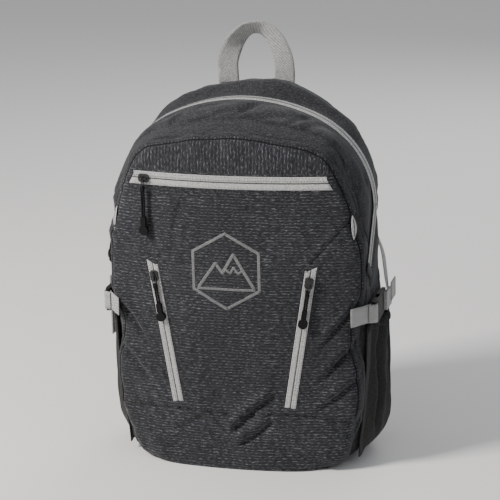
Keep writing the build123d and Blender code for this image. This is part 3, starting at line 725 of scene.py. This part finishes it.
# arched main zip with its two legs
right = np.vstack([arc(0, CROWN_Z, CROWN_R, 0, 25, 50), arc(SHO_X, SHO_Z, SHO_R, 25, 90, 70)[1:]])
half_r = resample(right, 2.0)
top = np.vstack([half_r[::-1] * [-1, 1], half_r[1:]])
nx = np.gradient(top, axis=0); nx = unit(nx)
on = np.stack([-nx[:, 1], 0 * nx[:, 0], nx[:, 0]], 1)
P = np.stack([top[:, 0], 0 * top[:, 0], top[:, 1]], 1)
zipper("main_zip", P, on, 9.5, ["main_zip_tape", "main_zip_coil"], coil_half=2.5)
for s, w in ((-1, "left"), (1, "right")):
    L = np.linspace(0, 75, 38)
    tilt = np.radians(35) * np.clip(L / 9, 0, 1)
    dy, dzz = -np.cumsum(np.r_[0, np.diff(L)] * np.sin(tilt)), -np.cumsum(np.r_[0, np.diff(L)] * np.cos(tilt))
    P = np.stack([s * 150.05 + 0 * L, dy, SHO_Z + dzz], 1)
    O = np.tile([s, 0, 0], (len(P), 1)).astype(float)
    zipper(f"zip_leg_{w}", P, O, 9.5, [f"main_zip_leg_{w}"], coil_half=2.5)
    # sewn end patch
    e = P[-1]; d = unit(P[-1] - P[-4])
    pe = np.array([e - d * 2, e + d * 9])
    v, f = ribbon_mesh(pe, np.cross([s, 0, 0], d), [s, 0, 0], 27, 1.6, lift=0.2)
    make(f"zip_leg_end_{w}", v, f, MAT["shell_plain"])

P, O = face_path([(-113, 341), (113, 341)])
CUT = 0.55 * float(np.sign(path_frame(P, O)[1][0][2]))
zipper("front_zip", P, O, 7.6, ["front_zip_tape", "front_zip_coil"], reverse=1,
       cut=((0, CUT), (-1, -CUT)))
for s, w, pts in ((-1, "left", zip_l), (1, "right", zip_r)):
    P, O = face_path(pts)
    zipper(f"side_zip_cloth_{w}", P, O, 6.4, [f"side_zip_{w}"], coil_half=1.9, stitch_in=1.2, reverse=s,
           cut=((0, -0.7 * float(np.sign(path_frame(P, O)[1][0][0] * s))),))

# ------------------------------------------------- topstitching and piping lines


def stitch_line(name, P, O, mat="thread", pitch=3.6, lift=0.25, length=2.4):
    S = resample(P, pitch)
    idx = np.linspace(0, len(P) - 1, len(S))
    OS = unit(np.stack([np.interp(idx, range(len(P)), O[:, k]) for k in range(3)], 1))
    S = drop(S, OS, 14)
    TS, AS = path_frame(S, OS)
    return boxes_mesh(S + OS * lift, TS, AS, OS, length, 0.55, 0.5)


lines = []
for s in SEAMS:
    Q = np.array(s, float)
    for off in (3.0,):
        P, O = face_path(Q + [0, off])
        lines.append(stitch_line("", P, O))
for z in (341 + 10.5, 341 - 10.5):
    P, O = face_path([(-118, z), (118, z)])
    lines.append(stitch_line("", P, O))
for pts in (zip_l, zip_r):
    for off in (-8, 8):
        P, O = face_path(np.array(pts, float) + [off, 0])
        lines.append(stitch_line("", P, O))
v, f = merge(lines)
make("face_topstitch", v, f, MAT["thread"])

# piping where the face panel meets its side, and a near-black tube in the valley: a real seam line whose darkness is
# painted seam shadow
i_side = np.where(tags == "side")[0][-1]
ring = G2[i_side] + NRM[i_side] * 0.5
keep = ring[:, 2] > 12
order = np.where(keep)[0]
gap = np.argmax(np.diff(np.r_[order, order[0] + N]))
order = np.r_[order[gap + 1:], order[:gap + 1]]
v, f = tube_mesh([resample(ring[order] - NRM[i_side][order] * 0.7, 2.5)], 0.9, 8)
make("face_piping", v, f, MAT["shell_plain"])
# near-black tube in the deepened seam groove: painted seam shadow over a real seam line
ring = G2[rollr[4]] + NRM[rollr[4]] * 0.35
order = np.where(ring[:, 2] > 66)[0]
gap = np.argmax(np.diff(np.r_[order, order[0] + N]))
order = np.r_[order[gap + 1:], order[:gap + 1]]
v, f = tube_mesh([resample(ring[order], 2.5)], 0.9, 6)
make("dome_seam_shadow_line", v, f, MAT["seam"])
i_back = np.where(tags == "backroll")[0][5]
ring = G2[i_back]
order = np.where(ring[:, 2] > 14)[0]
gap = np.argmax(np.diff(np.r_[order, order[0] + N]))
order = np.r_[order[gap + 1:], order[:gap + 1]]
v, f = tube_mesh([resample(ring[order] + NRM[i_back][order] * 0.4, 2.5)], 1.7, 8)
make("back_piping", v, f, MAT["side"])

# short lens of zip tape where each side seam meets the front panel
for s, w in ((-1, "left"), (1, "right")):
    zz_ = np.linspace(303, 276, 16)
    Q = np.stack([s * (139.5 + 0 * zz_), -62 - 3 * np.sin(np.linspace(0, math.pi, 16)), zz_], 1)
    ol = unit(np.array([s * 0.78, -0.62, 0.0]))
    Q[:, 1] = -68.0
    Q = drop(Q, ol, 16)
    Q = Q[0] + (Q[-1] - Q[0]) * np.linspace(0, 1, 16)[:, None] + ol * (1.6 * np.sin(np.linspace(0, math.pi, 16)))[:, None]
    wl = 7.0 * np.sin(np.linspace(0.12, math.pi - 0.12, 16))
    T_, A_l = path_frame(Q, np.tile(ol, (16, 1)))
    v, f = ribbon_mesh(Q, A_l, ol, 7, 1.0, lift=0.0, seg=6, widths=wl)
    make(f"seam_zip_end_{w}", v, f, MAT["tape"])
    v, f = ribbon_mesh(Q[2:-2], A_l[2:-2], ol, 1.0, 0.5, lift=0.8, seg=4)
    make(f"seam_zip_teeth_{w}", v, f, MAT["thread"])

# --------------------------------------------------------------- printed badge
strokes = []
hexr = 44.0
hx = [(hexr * math.sin(math.radians(a)), 238 + hexr * math.cos(math.radians(a))) for a in range(0, 361, 60)]
bx = -4.0
strokes.append(([(x + bx, z) for x, z in hx], 3.4))
strokes.append(([(bx - 32, 219), (bx - 12, 247), (bx - 4, 236), (bx + 9, 258), (bx + 32, 219)], 3.6))
strokes.append(([(bx - 1, 241), (bx + 5, 236), (bx + 9, 243), (bx + 14, 236), (bx + 20, 240)], 2.6))
strokes.append(([(bx - 33, 217), (bx + 33, 217)], 3.0))
parts = []
for pts, w in strokes:
    for a, b in zip(pts[:-1], pts[1:]):
        P, O = face_path([a, b], 1.5)
        P = drop(P, O, 14)
        T, A = path_frame(P, O)
        d = unit(P[-1] - P[0])
        P[0] -= d * w * 0.28; P[-1] += d * w * 0.28
        parts.append(ribbon_mesh(P, A, O, w, 0.16, lift=0.06, seg=4))
v, f = merge(parts)
make("badge_print", v, f, MAT["print"])

# ----------------------------------------------------------------- side pockets
for s, w in ((-1, "left"), (1, "right")):
    nu, nv = ((120, 90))
    yy = np.linspace(-47, 56, nu)
    zz = np.linspace(9, 165, nv)
    YY, ZZ = np.meshgrid(yy, zz, indexing="ij")
    rad = 55.4
    base = 163.5 - rad + np.sqrt(np.maximum(rad ** 2 - (YY - 4) ** 2, 0))
    side_x = np.interp(ZZ, [0, 30, 50, 120, 195], [137, 139, 142, 147.5, 150])
    foot = 9 + 13 * np.clip((np.abs(YY - 4.5) - 22) / 30, 0, 1) ** 2
    prof = np.sin(np.clip((ZZ - foot) / 34, 0, 1) * np.pi / 2) ** 0.7
    full = 0.55 + 0.45 * np.sin(np.pi * np.clip((ZZ + 25) / 210, 0, 1))
    XX = side_x + (base - side_x) * prof * (0.72 + 0.28 * full) - 2.0 * (1 - prof)
    pts = np.stack([XX.ravel(), YY.ravel(), ZZ.ravel()], 1)
    nz = fbm(pts, 40, 5 + s).reshape(nu, nv)
    folds = 0
    for y0, dep, wid, lean in ((-20, 6.5, 3.6, 0.05), (6, 7.5, 4.0, -0.07), (30, 5.5, 3.4, 0.06)):
        c = y0 + lean * (ZZ - 90) + 3.5 * nz
        folds = folds - dep * np.exp(-((YY - c) / wid) ** 2) + 0.28 * dep * np.exp(-((np.abs(YY - c) - 2.1 * wid) / wid) ** 2)
    fm = np.clip((ZZ - 22) / 40, 0, 1) * np.clip(1 - (np.abs(YY - 4) - 34) / 14, 0, 1)
    XX = XX + folds * fm + 1.2 * nz * prof
    XX = np.maximum(XX, side_x + 1.6)
    edge = np.clip((np.abs(YY - 4.5) - 44) / 7.5, 0, 1)
    XX = XX * (1 - edge) + (side_x + 0.5) * edge
    outer = np.stack([s * XX, YY, ZZ], -1)
    inner = np.stack([s * np.maximum(XX - 1.6, side_x - 0.8), YY, ZZ], -1)
    V, F = [], []
    for Gd in (outer, inner):
        V += [tuple(p) for p in Gd.reshape(-1, 3)]
    K = nu * nv
    for i in range(nu - 1):
        for j in range(nv - 1):
            a = i * nv + j
            F.append((a, a + nv, a + nv + 1, a + 1))
            F.append((K + a, K + a + 1, K + a + nv + 1, K + a + nv))
    for i in range(nu - 1):
        a, b = i * nv, i * nv + nv - 1
        F.append((a, K + a, K + a + nv, a + nv)); F.append((b, b + nv, K + b + nv, K + b))
    for j in range(nv - 1):
        a, b = j, (nu - 1) * nv + j
        F.append((a, a + 1, K + a + 1, K + a)); F.append((b, K + b, K + b + 1, b + 1))
    p = make(f"side_pouch_{w}", V, F, MAT["side"])
    bm = bmesh.new(); bm.from_mesh(p.data); bmesh.ops.recalc_face_normals(bm, faces=bm.faces); bm.to_mesh(p.data); bm.free()
    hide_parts(f"side_pocket_{w}")
    # gathered elastic binding
    e = resample(outer[:, -1, :], 0.8)
    ribs = 0.35 * np.sin(np.arange(len(e)) * 1.9)
    O = np.stack([s + 0 * ribs, 0 * ribs, 0 * ribs], 1)
    T = unit(np.gradient(e, axis=0)); O = unit(np.cross(T, [0, 0, 1]) * 1.0)
    O = O * np.sign((O[:, :1] * s).mean())
    v, f = ribbon_mesh(e + O * (ribs[:, None] - 1.9) + [0, 0, -0.5], [0, 0, 1], O, 9.0, 2.9, crown=0.5, seg=6)
    b = make(f"pouch_binding_{w}", v, f, MAT["blackweb"])
    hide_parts(f"pocket_binding_{w}")

# ------------------------------------------------------------------- back pads


def pillow(name, cx, cz, wd, ht, h, node, power=5.0):
    n1, n2 = ((60, 110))
    u = np.linspace(-1, 1, n1); v = np.linspace(-1, 1, n2)
    U, W = np.meshgrid(u, v, indexing="ij")
    # squircle mapping keeps the corners round
    k = 0.16
    XX = cx + wd / 2 * U * np.sqrt(1 - k * W ** 2 * 0.9)
    ZZ = cz + ht / 2 * W * np.sqrt(1 - k * U ** 2 * 0.25)
    H = (1 - np.abs(U) ** power) ** 0.5 * (1 - np.abs(W) ** (power * 2)) ** 0.5
    pts = np.stack([XX.ravel(), 0 * XX.ravel(), ZZ.ravel()], 1)
    nz = fbm(pts, 45, 9).reshape(U.shape)
    grooves = 0
    if ht > 150:
        for zc in (cz + ht / 6, cz - ht / 6):
            grooves = grooves - 3.2 * np.exp(-((ZZ - zc) / 3.0) ** 2)
    YY = 70.2 + H * (h + 0.5 * nz + grooves)
    top_ = np.stack([XX, YY, ZZ], -1); bot_ = np.stack([XX, 0 * YY + 69.4, ZZ], -1)
    V = [tuple(p) for p in top_.reshape(-1, 3)] + [tuple(p) for p in bot_.reshape(-1, 3)]
    K = n1 * n2; F = []
    for i in range(n1 - 1):
        for j in range(n2 - 1):
            a = i * n2 + j
            F.append((a, a + 1, a + n2 + 1, a + n2)); F.append((K + a, K + a + n2, K + a + n2 + 1, K + a + 1))
    for i in range(n1 - 1):
        a, b = i * n2, i * n2 + n2 - 1
        F.append((a, a + n2, K + a + n2, K + a)); F.append((b, K + b, K + b + n2, b + n2))
    for j in range(n2 - 1):
        a, b = j, (n1 - 1) * n2 + j
        F.append((a, K + a, K + a + 1, a + 1)); F.append((b, b + 1, K + b + 1, K + b))
    p = make(name, V, F, MAT["mesh"])
    bm = bmesh.new(); bm.from_mesh(p.data); bmesh.ops.recalc_face_normals(bm, faces=bm.faces); bm.to_mesh(p.data); bm.free()
    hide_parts(node)
    return p


pillow("mesh_pad_left", -56, 258, 90, 242, 11, "back_pad_left")
pillow("mesh_pad_right", 56, 258, 90, 242, 11, "back_pad_right")
pillow("mesh_pad_lumbar", 0, 82, 202, 94, 11, "back_pad_lumbar")

# ------------------------------------------------------------------- haul loop
ctrl = [(-33, 59.5, 424), (-33.5, 59.5, 436), (-33, 59.5, 452), (-25, 60, 472), (-12, 60, 486), (0, 60, 489.5),
        (12, 60, 487), (24, 60, 475), (32, 59.5, 456), (34, 59.5, 438), (33, 59.5, 424)]
P = smooth_path(ctrl, 1.5)
t = np.linspace(0, 1, len(P))
T = unit(np.gradient(P, axis=0))
# flat to the front at the sewn ends, turning edge-on over the top
turn = np.interp(t, [0, 0.2, 0.4, 0.6, 0.8, 1], [0, 4, 62, 30, 10, 0])
turn = np.convolve(np.pad(turn, 14, mode="edge"), np.ones(29) / 29, mode="valid")
side_v = np.cross(T, [0, -1.0, 0]); side_v = unit(side_v)
out0 = np.tile([0, -1.0, 0], (len(P), 1))
ca, sa = np.cos(np.radians(turn))[:, None], np.sin(np.radians(turn))[:, None]
across = unit(ca * side_v + sa * np.array([0, 1.0, 0]))
outv = unit(np.cross(across, T))
wd = np.interp(t, [0, 0.1, 0.9, 1], [24.5, 24, 24, 24.5])
v, f = ribbon_mesh(P - outv * 0.9, across, outv, 24, 1.8, seg=8, widths=wd)
loop = make("haul_webbing", v, f, MAT["web"], body=None)
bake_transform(loop)
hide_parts("haul_loop")
for s, w in ((-1, "left"), (1, "right")):
    Q = np.array([(s * 33, 59.6, z) for z in np.linspace(402, 425, 14)])
    v, f = ribbon_mesh(Q, [1, 0, 0], [0, -1, 0], 24.5, 1.7, lift=-0.9, seg=8)
    e = make(f"haul_end_{w}", v, f, MAT["web"])
    if s > 0:
        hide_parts("haul_loop_ends")

# ------------------------------------------------------------ shoulder straps


def pad_mesh(P, across, out, width, thick, seg=20, ends=True, widths=None):
    """Padded band with a rounded section."""
    P = np.asarray(P, float)
    V, F = [], []
    n = len(P)
    for i in range(n):
        w = (widths[i] if widths is not None else width) / 2
        for k in range(seg):
            a = 2 * math.pi * k / seg
            c, s_ = math.cos(a), math.sin(a)
            x = w * np.sign(c) * abs(c) ** 0.75
            y = thick / 2 * np.sign(s_) * abs(s_) ** 0.55
            V.append(P[i] + across[i] * x + out[i] * y)
    for i in range(n - 1):
        for k in range(seg):
            a0, a1 = i * seg + k, i * seg + (k + 1) % seg
            F.append((a0, a0 + seg, a1 + seg, a1))
    F.append(tuple(range(seg))); F.append(tuple((n - 1) * seg + k for k in range(seg))[::-1])
    return V, F


for s, w in ((-1, "left"), (1, "right")):
    B_ = np.array([s * 128, 70, 34.0])
    ctrl = [(s * 43, 71, 393), (s * 44, 84, 394), (s * 46, 98, 385), (s * 49, 104.5, 368), (s * 55, 105, 335),
            (s * 68, 105, 295), (s * 82, 105, 252), (s * 92, 105, 215), (s * 97, 105, 185), (s * 99, 105, 158)]
    P = smooth_path(ctrl, 2.5)
    T = unit(np.gradient(P, axis=0))
    tt = np.linspace(0, 1, len(P))
    acr = unit(np.cross([0, 1.0, 0], T) * 1.0)
    early = np.clip(1 - tt / 0.17, 0, 1)[:, None]
    acr = unit(acr * (1 - early) + np.array([-s * 1.0, 0, 0]) * early * np.sign((acr @ np.array([-s * 1.0, 0, 0])).mean()))
    O = unit(np.cross(T, acr)); O = O * np.sign(O[len(O) // 2, 1])
    nz = fbm(P, 40, 12)
    th = np.interp(tt, [0, 0.05, 0.16, 1], [4, 7, 11.5, 11.5])
    wid = np.interp(tt, [0, 0.2, 0.5, 0.85, 0.95, 1], [56, 59, 60, 58, 52, 36])
    V, F = [], []
    seg = 28
    for i in range(len(P)):
        for k in range(seg):
            a = 2 * math.pi * k / seg
            c, s_ = math.cos(a), math.sin(a)
            x = wid[i] / 2 * np.sign(c) * abs(c) ** 0.8
            y = th[i] / 2 * np.sign(s_) * abs(s_) ** 0.5 * (1 + 0.05 * nz[i])
            V.append(P[i] + acr[i] * x + O[i] * y)
    for i in range(len(P) - 1):
        for k in range(seg):
            a0, a1 = i * seg + k, i * seg + (k + 1) % seg
            F.append((a0, a0 + seg, a1 + seg, a1))
    F.append(tuple(range(seg))); F.append(tuple((len(P) - 1) * seg + k for k in range(seg))[::-1])
    pad = make(f"strap_padding_{w}", V, F, MAT["mesh"], body=None)
    bm = bmesh.new(); bm.from_mesh(pad.data); bmesh.ops.recalc_face_normals(bm, faces=bm.faces); bm.to_mesh(pad.data); bm.free()
    pad.data.materials.append(MAT["shell_plain"])
    # woven face on the outside, mesh against the body
    outer = [p.index for p in pad.data.polygons if p.normal.y > -0.15]
    for i in outer:
        pad.data.polygons[i].material_index = 1
    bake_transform(pad)
    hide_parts(f"shoulder_strap_{w}", f"strap_top_{w}")
    # bound edges
    tubes = []
    for e in (-1, 1):
        tubes.append(resample(P + acr * (e * (wid / 2 - 0.2))[:, None], 3))
    v, f = tube_mesh(tubes, 1.9, 8)
    o = make(f"strap_binding_{w}", v, f, MAT["blackweb"], body=None)
    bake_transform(o)
    # webbing sewn down the strap, with bar tacks
    i0, i1 = int(0.22 * len(P)), len(P) - 1
    Pw = P[i0:i1] + O[i0:i1] * (th[i0:i1] / 2)[:, None]
    v, f = ribbon_mesh(Pw, acr[i0:i1], O[i0:i1], 20, 1.5, lift=-0.1, seg=6)
    tail = np.array([P[i1] + O[i1] * 4.5, (s * 99.6, 107.6, 150), (s * 99.8, 107.8, 143.5)])
    v2, f2 = ribbon_mesh(resample(tail, 3), acr[i1], O[i1], 20, 1.5, lift=0.0, seg=6)
    v, f = merge([(v, f), (v2, f2)])
    tk = []
    for zc in np.linspace(0.08, 0.92, 6):
        j = i0 + int(zc * (i1 - i0))
        c = P[j] + O[j] * (th[j] / 2 + 1.5)
        tk.append(boxes_mesh([c + T[j] * q for q in (-0.9, 0.9)], [acr[j]] * 2, [T[j]] * 2, [O[j]] * 2, 17, 0.8, 0.5))
    o = make(f"strap_front_webbing_{w}", v, f, MAT["blackweb"], body=None)
    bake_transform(o)
    v, f = merge(tk)
    o = make(f"strap_bartacks_{w}", v, f, MAT["thread"], body=None)
    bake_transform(o)
    # lower webbing: from the adjuster to the corner tab
    a_, b_ = np.array([s * 100, 101.2, 138.0]), B_ + [0, 5, 12]
    Q = resample(np.array([a_ + [0, 5.4, 5], a_ + [0, 1.0, 1], a_ + (b_ - a_) * 0.3, b_, B_ + [s * 1, 3.4, 2]]), 2)
    Tq = unit(np.gradient(Q, axis=0)); run = unit(b_ - a_)
    aq = np.tile(unit(np.cross(run, [0, 1.0, 0])), (len(Q), 1)); oq = unit(np.cross(aq, Tq)); oq *= np.sign(oq[len(oq) // 2, 1])
    v, f = ribbon_mesh(Q, aq, oq, 20, 1.5, lift=-0.75, seg=6)
    o = make(f"strap_lower_webbing_{w}", v, f, MAT["blackweb"], body=None)
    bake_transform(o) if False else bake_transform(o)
    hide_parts(f"strap_webbing_{w}")
    # free end hanging from the adjuster
    Q = smooth_path([(s * 100, 108.2, 139), (s * 100.5, 109.5, 132), (s * 102, 108.5, 112), (s * 104, 107.0, 92), (s * 105, 106.5, 84)], 2)
    Tq = unit(np.gradient(Q, axis=0)); aq = np.tile([1.0, 0, 0], (len(Q), 1)); oq = unit(np.cross(Tq, aq)); oq *= np.sign(oq[0, 1])
    v, f = ribbon_mesh(Q, aq, oq, 20, 1.4, seg=6)
    make(f"strap_free_end_{w}", v, f, MAT["blackweb"], body=f"shoulder_strap_{w}")
    # corner tab
    tri = [(s * 98, 8), (s * 131, 12), (s * 139, 42), (s * 116, 52)]
    V = [(x, y, z) for y in (70.4, 73.4) for x, z in tri]
    F = [(0, 1, 2, 3), (7, 6, 5, 4)] + [(i, (i + 1) % 4, 4 + (i + 1) % 4, 4 + i) for i in range(4)]
    o = make(f"corner_tab_{w}", V, F, MAT["shell_plain"], smooth=False)
    bm = bmesh.new(); bm.from_mesh(o.data); bmesh.ops.recalc_face_normals(bm, faces=bm.faces); bm.to_mesh(o.data); bm.free()
    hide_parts(f"strap_tab_{w}")

# ------------------------------------------------------- compression straps
CZc = 186.0
for s, w in ((-1, "left"), (1, "right")):
    pts = [(136.0, -76.0), (139.6, -71.5), (146.5, -61.5), (152.6, -52.6), (153.9, -48.0), (154.4, -45.6), (157.4, -44.9),
           (160.6, -45.6), (160.9, -50.6), (157.4, -53.4), (152.4, -56.0)]
    Q = smooth_path([(s * x, y, CZc) for x, y in pts], 1.2)
    Tq = unit(np.gradient(Q, axis=0)); aq = np.tile([0, 0, 1.0], (len(Q), 1)); oq = unit(np.cross(Tq, aq))
    v, f = ribbon_mesh(Q, aq, oq, 21.5, 1.2, lift=-0.6, seg=6)
    o = make(f"stub_webbing_{w}", v, f, MAT["web"])
    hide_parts(f"compression_stub_{w}")
    # strap from the back seam to the plug
    ctrl = [(s * 132.5, 50, 268), (s * 138.5, 47.5, 260), (s * 145.5, 41, 248), (s * 152, 35, 233), (s * 155.5, 30, 216),
            (s * 158, 25, 202), (s * 160, 20, 194), (s * 161.9, 14, 189), (s * 161.9, 5, 187)]
    Q = smooth_path(ctrl, 2)
    tq = np.linspace(0, 1, len(Q))
    Tq = unit(np.gradient(Q, axis=0))
    ref = np.array([s, 0, 0.0])
    aq = unit(np.cross(Tq, ref)); oq = unit(np.cross(aq, Tq)); oq *= np.sign((oq @ ref).mean())
    v, f = ribbon_mesh(Q, aq, oq, 20.5, 1.3, lift=-0.65, seg=6)
    o = make(f"rear_strap_{w}", v, f, MAT["web"], body=None)
    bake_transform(o)
    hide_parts(f"compression_webbing_{w}")

# ------------------------------------------------------------- CAD pieces shown
paint = {}
for sp in frame["record"]["subparts"]:
    paint[sp["node"]] = sp["material_slot"]
look = {"shell_fabric": "shell", "side_fabric": "side", "lining": "lining", "mesh_fabric": "mesh", "board": "board",
        "zip_tape": "tape", "zip_coil": "coil", "webbing": "web", "strap_webbing": "blackweb",
        "black_plastic": "plastic", "slider_metal": "metal", "pull_cord": "cord"}
for n, ob in frame["nodes"].items():
    ob.data.materials.clear()
    ob.data.materials.append(MAT[look[paint[n]]])

# ------------------------------------------------------------- stage and camera
scene = bpy.context.scene
me = bpy.data.meshes.new("floor")
me.from_pydata([(-40, -40, 0), (40, -40, 0), (40, 40, 0), (-40, 40, 0)], [], [(0, 1, 2, 3)])
floor = bpy.data.objects.new("floor", me)
scene.collection.objects.link(floor)
fm, fnt, fb = node_mat("floor_pale", 0.9)
fb.inputs["Base Color"].default_value = (0.78, 0.77, 0.75, 1)
me.materials.append(fm)
world = bpy.data.worlds.new("studio")
scene.world = world
world.use_nodes = True
world.node_tree.nodes["Background"].inputs[0].default_value = (0.92, 0.95, 1.0, 1)
world.node_tree.nodes["Background"].inputs[1].default_value = 0.46


def area(name, loc, target, size, power, colour=(1, 1, 1)):
    d = bpy.data.lights.new(name, "AREA")
    d.energy, d.size, d.color = power, size, colour
    o = bpy.data.objects.new(name, d)
    o.location = loc
    o.rotation_euler = (Vector(target) - Vector(loc)).to_track_quat("-Z", "Y").to_euler()
    scene.collection.objects.link(o)
    return o


area("key", (-1.45, -1.15, 1.65), (0, 0, 0.22), 0.5, 82, (1.0, 0.97, 0.93))
area("fill", (1.8, -0.7, 0.9), (0, 0, 0.2), 1.6, 4, (0.92, 0.96, 1.0))
area("rim", (0.4, 1.8, 1.4), (0, 0, 0.25), 1.2, 14)

cam_d = bpy.data.cameras.new("camera")
cam = bpy.data.objects.new("camera", cam_d)
scene.collection.objects.link(cam)
AZ, EL, DIST = math.radians(14.5), math.radians(16.0), 2.3
look_at = Vector((0.002, 0.0, 0.2385))
pos = look_at + DIST * Vector((math.sin(AZ) * math.cos(EL), -math.cos(AZ) * math.cos(EL), math.sin(EL)))
cam.location = pos
rot = (look_at - pos).to_track_quat("-Z", "Y")
cam.rotation_euler = (rot.to_matrix().to_4x4() @ Matrix.Rotation(math.radians(-1.5), 4, "Z")).to_euler()
cam_d.sensor_width = 36
cam_d.lens = 36 * DIST / 0.581
scene.camera = cam
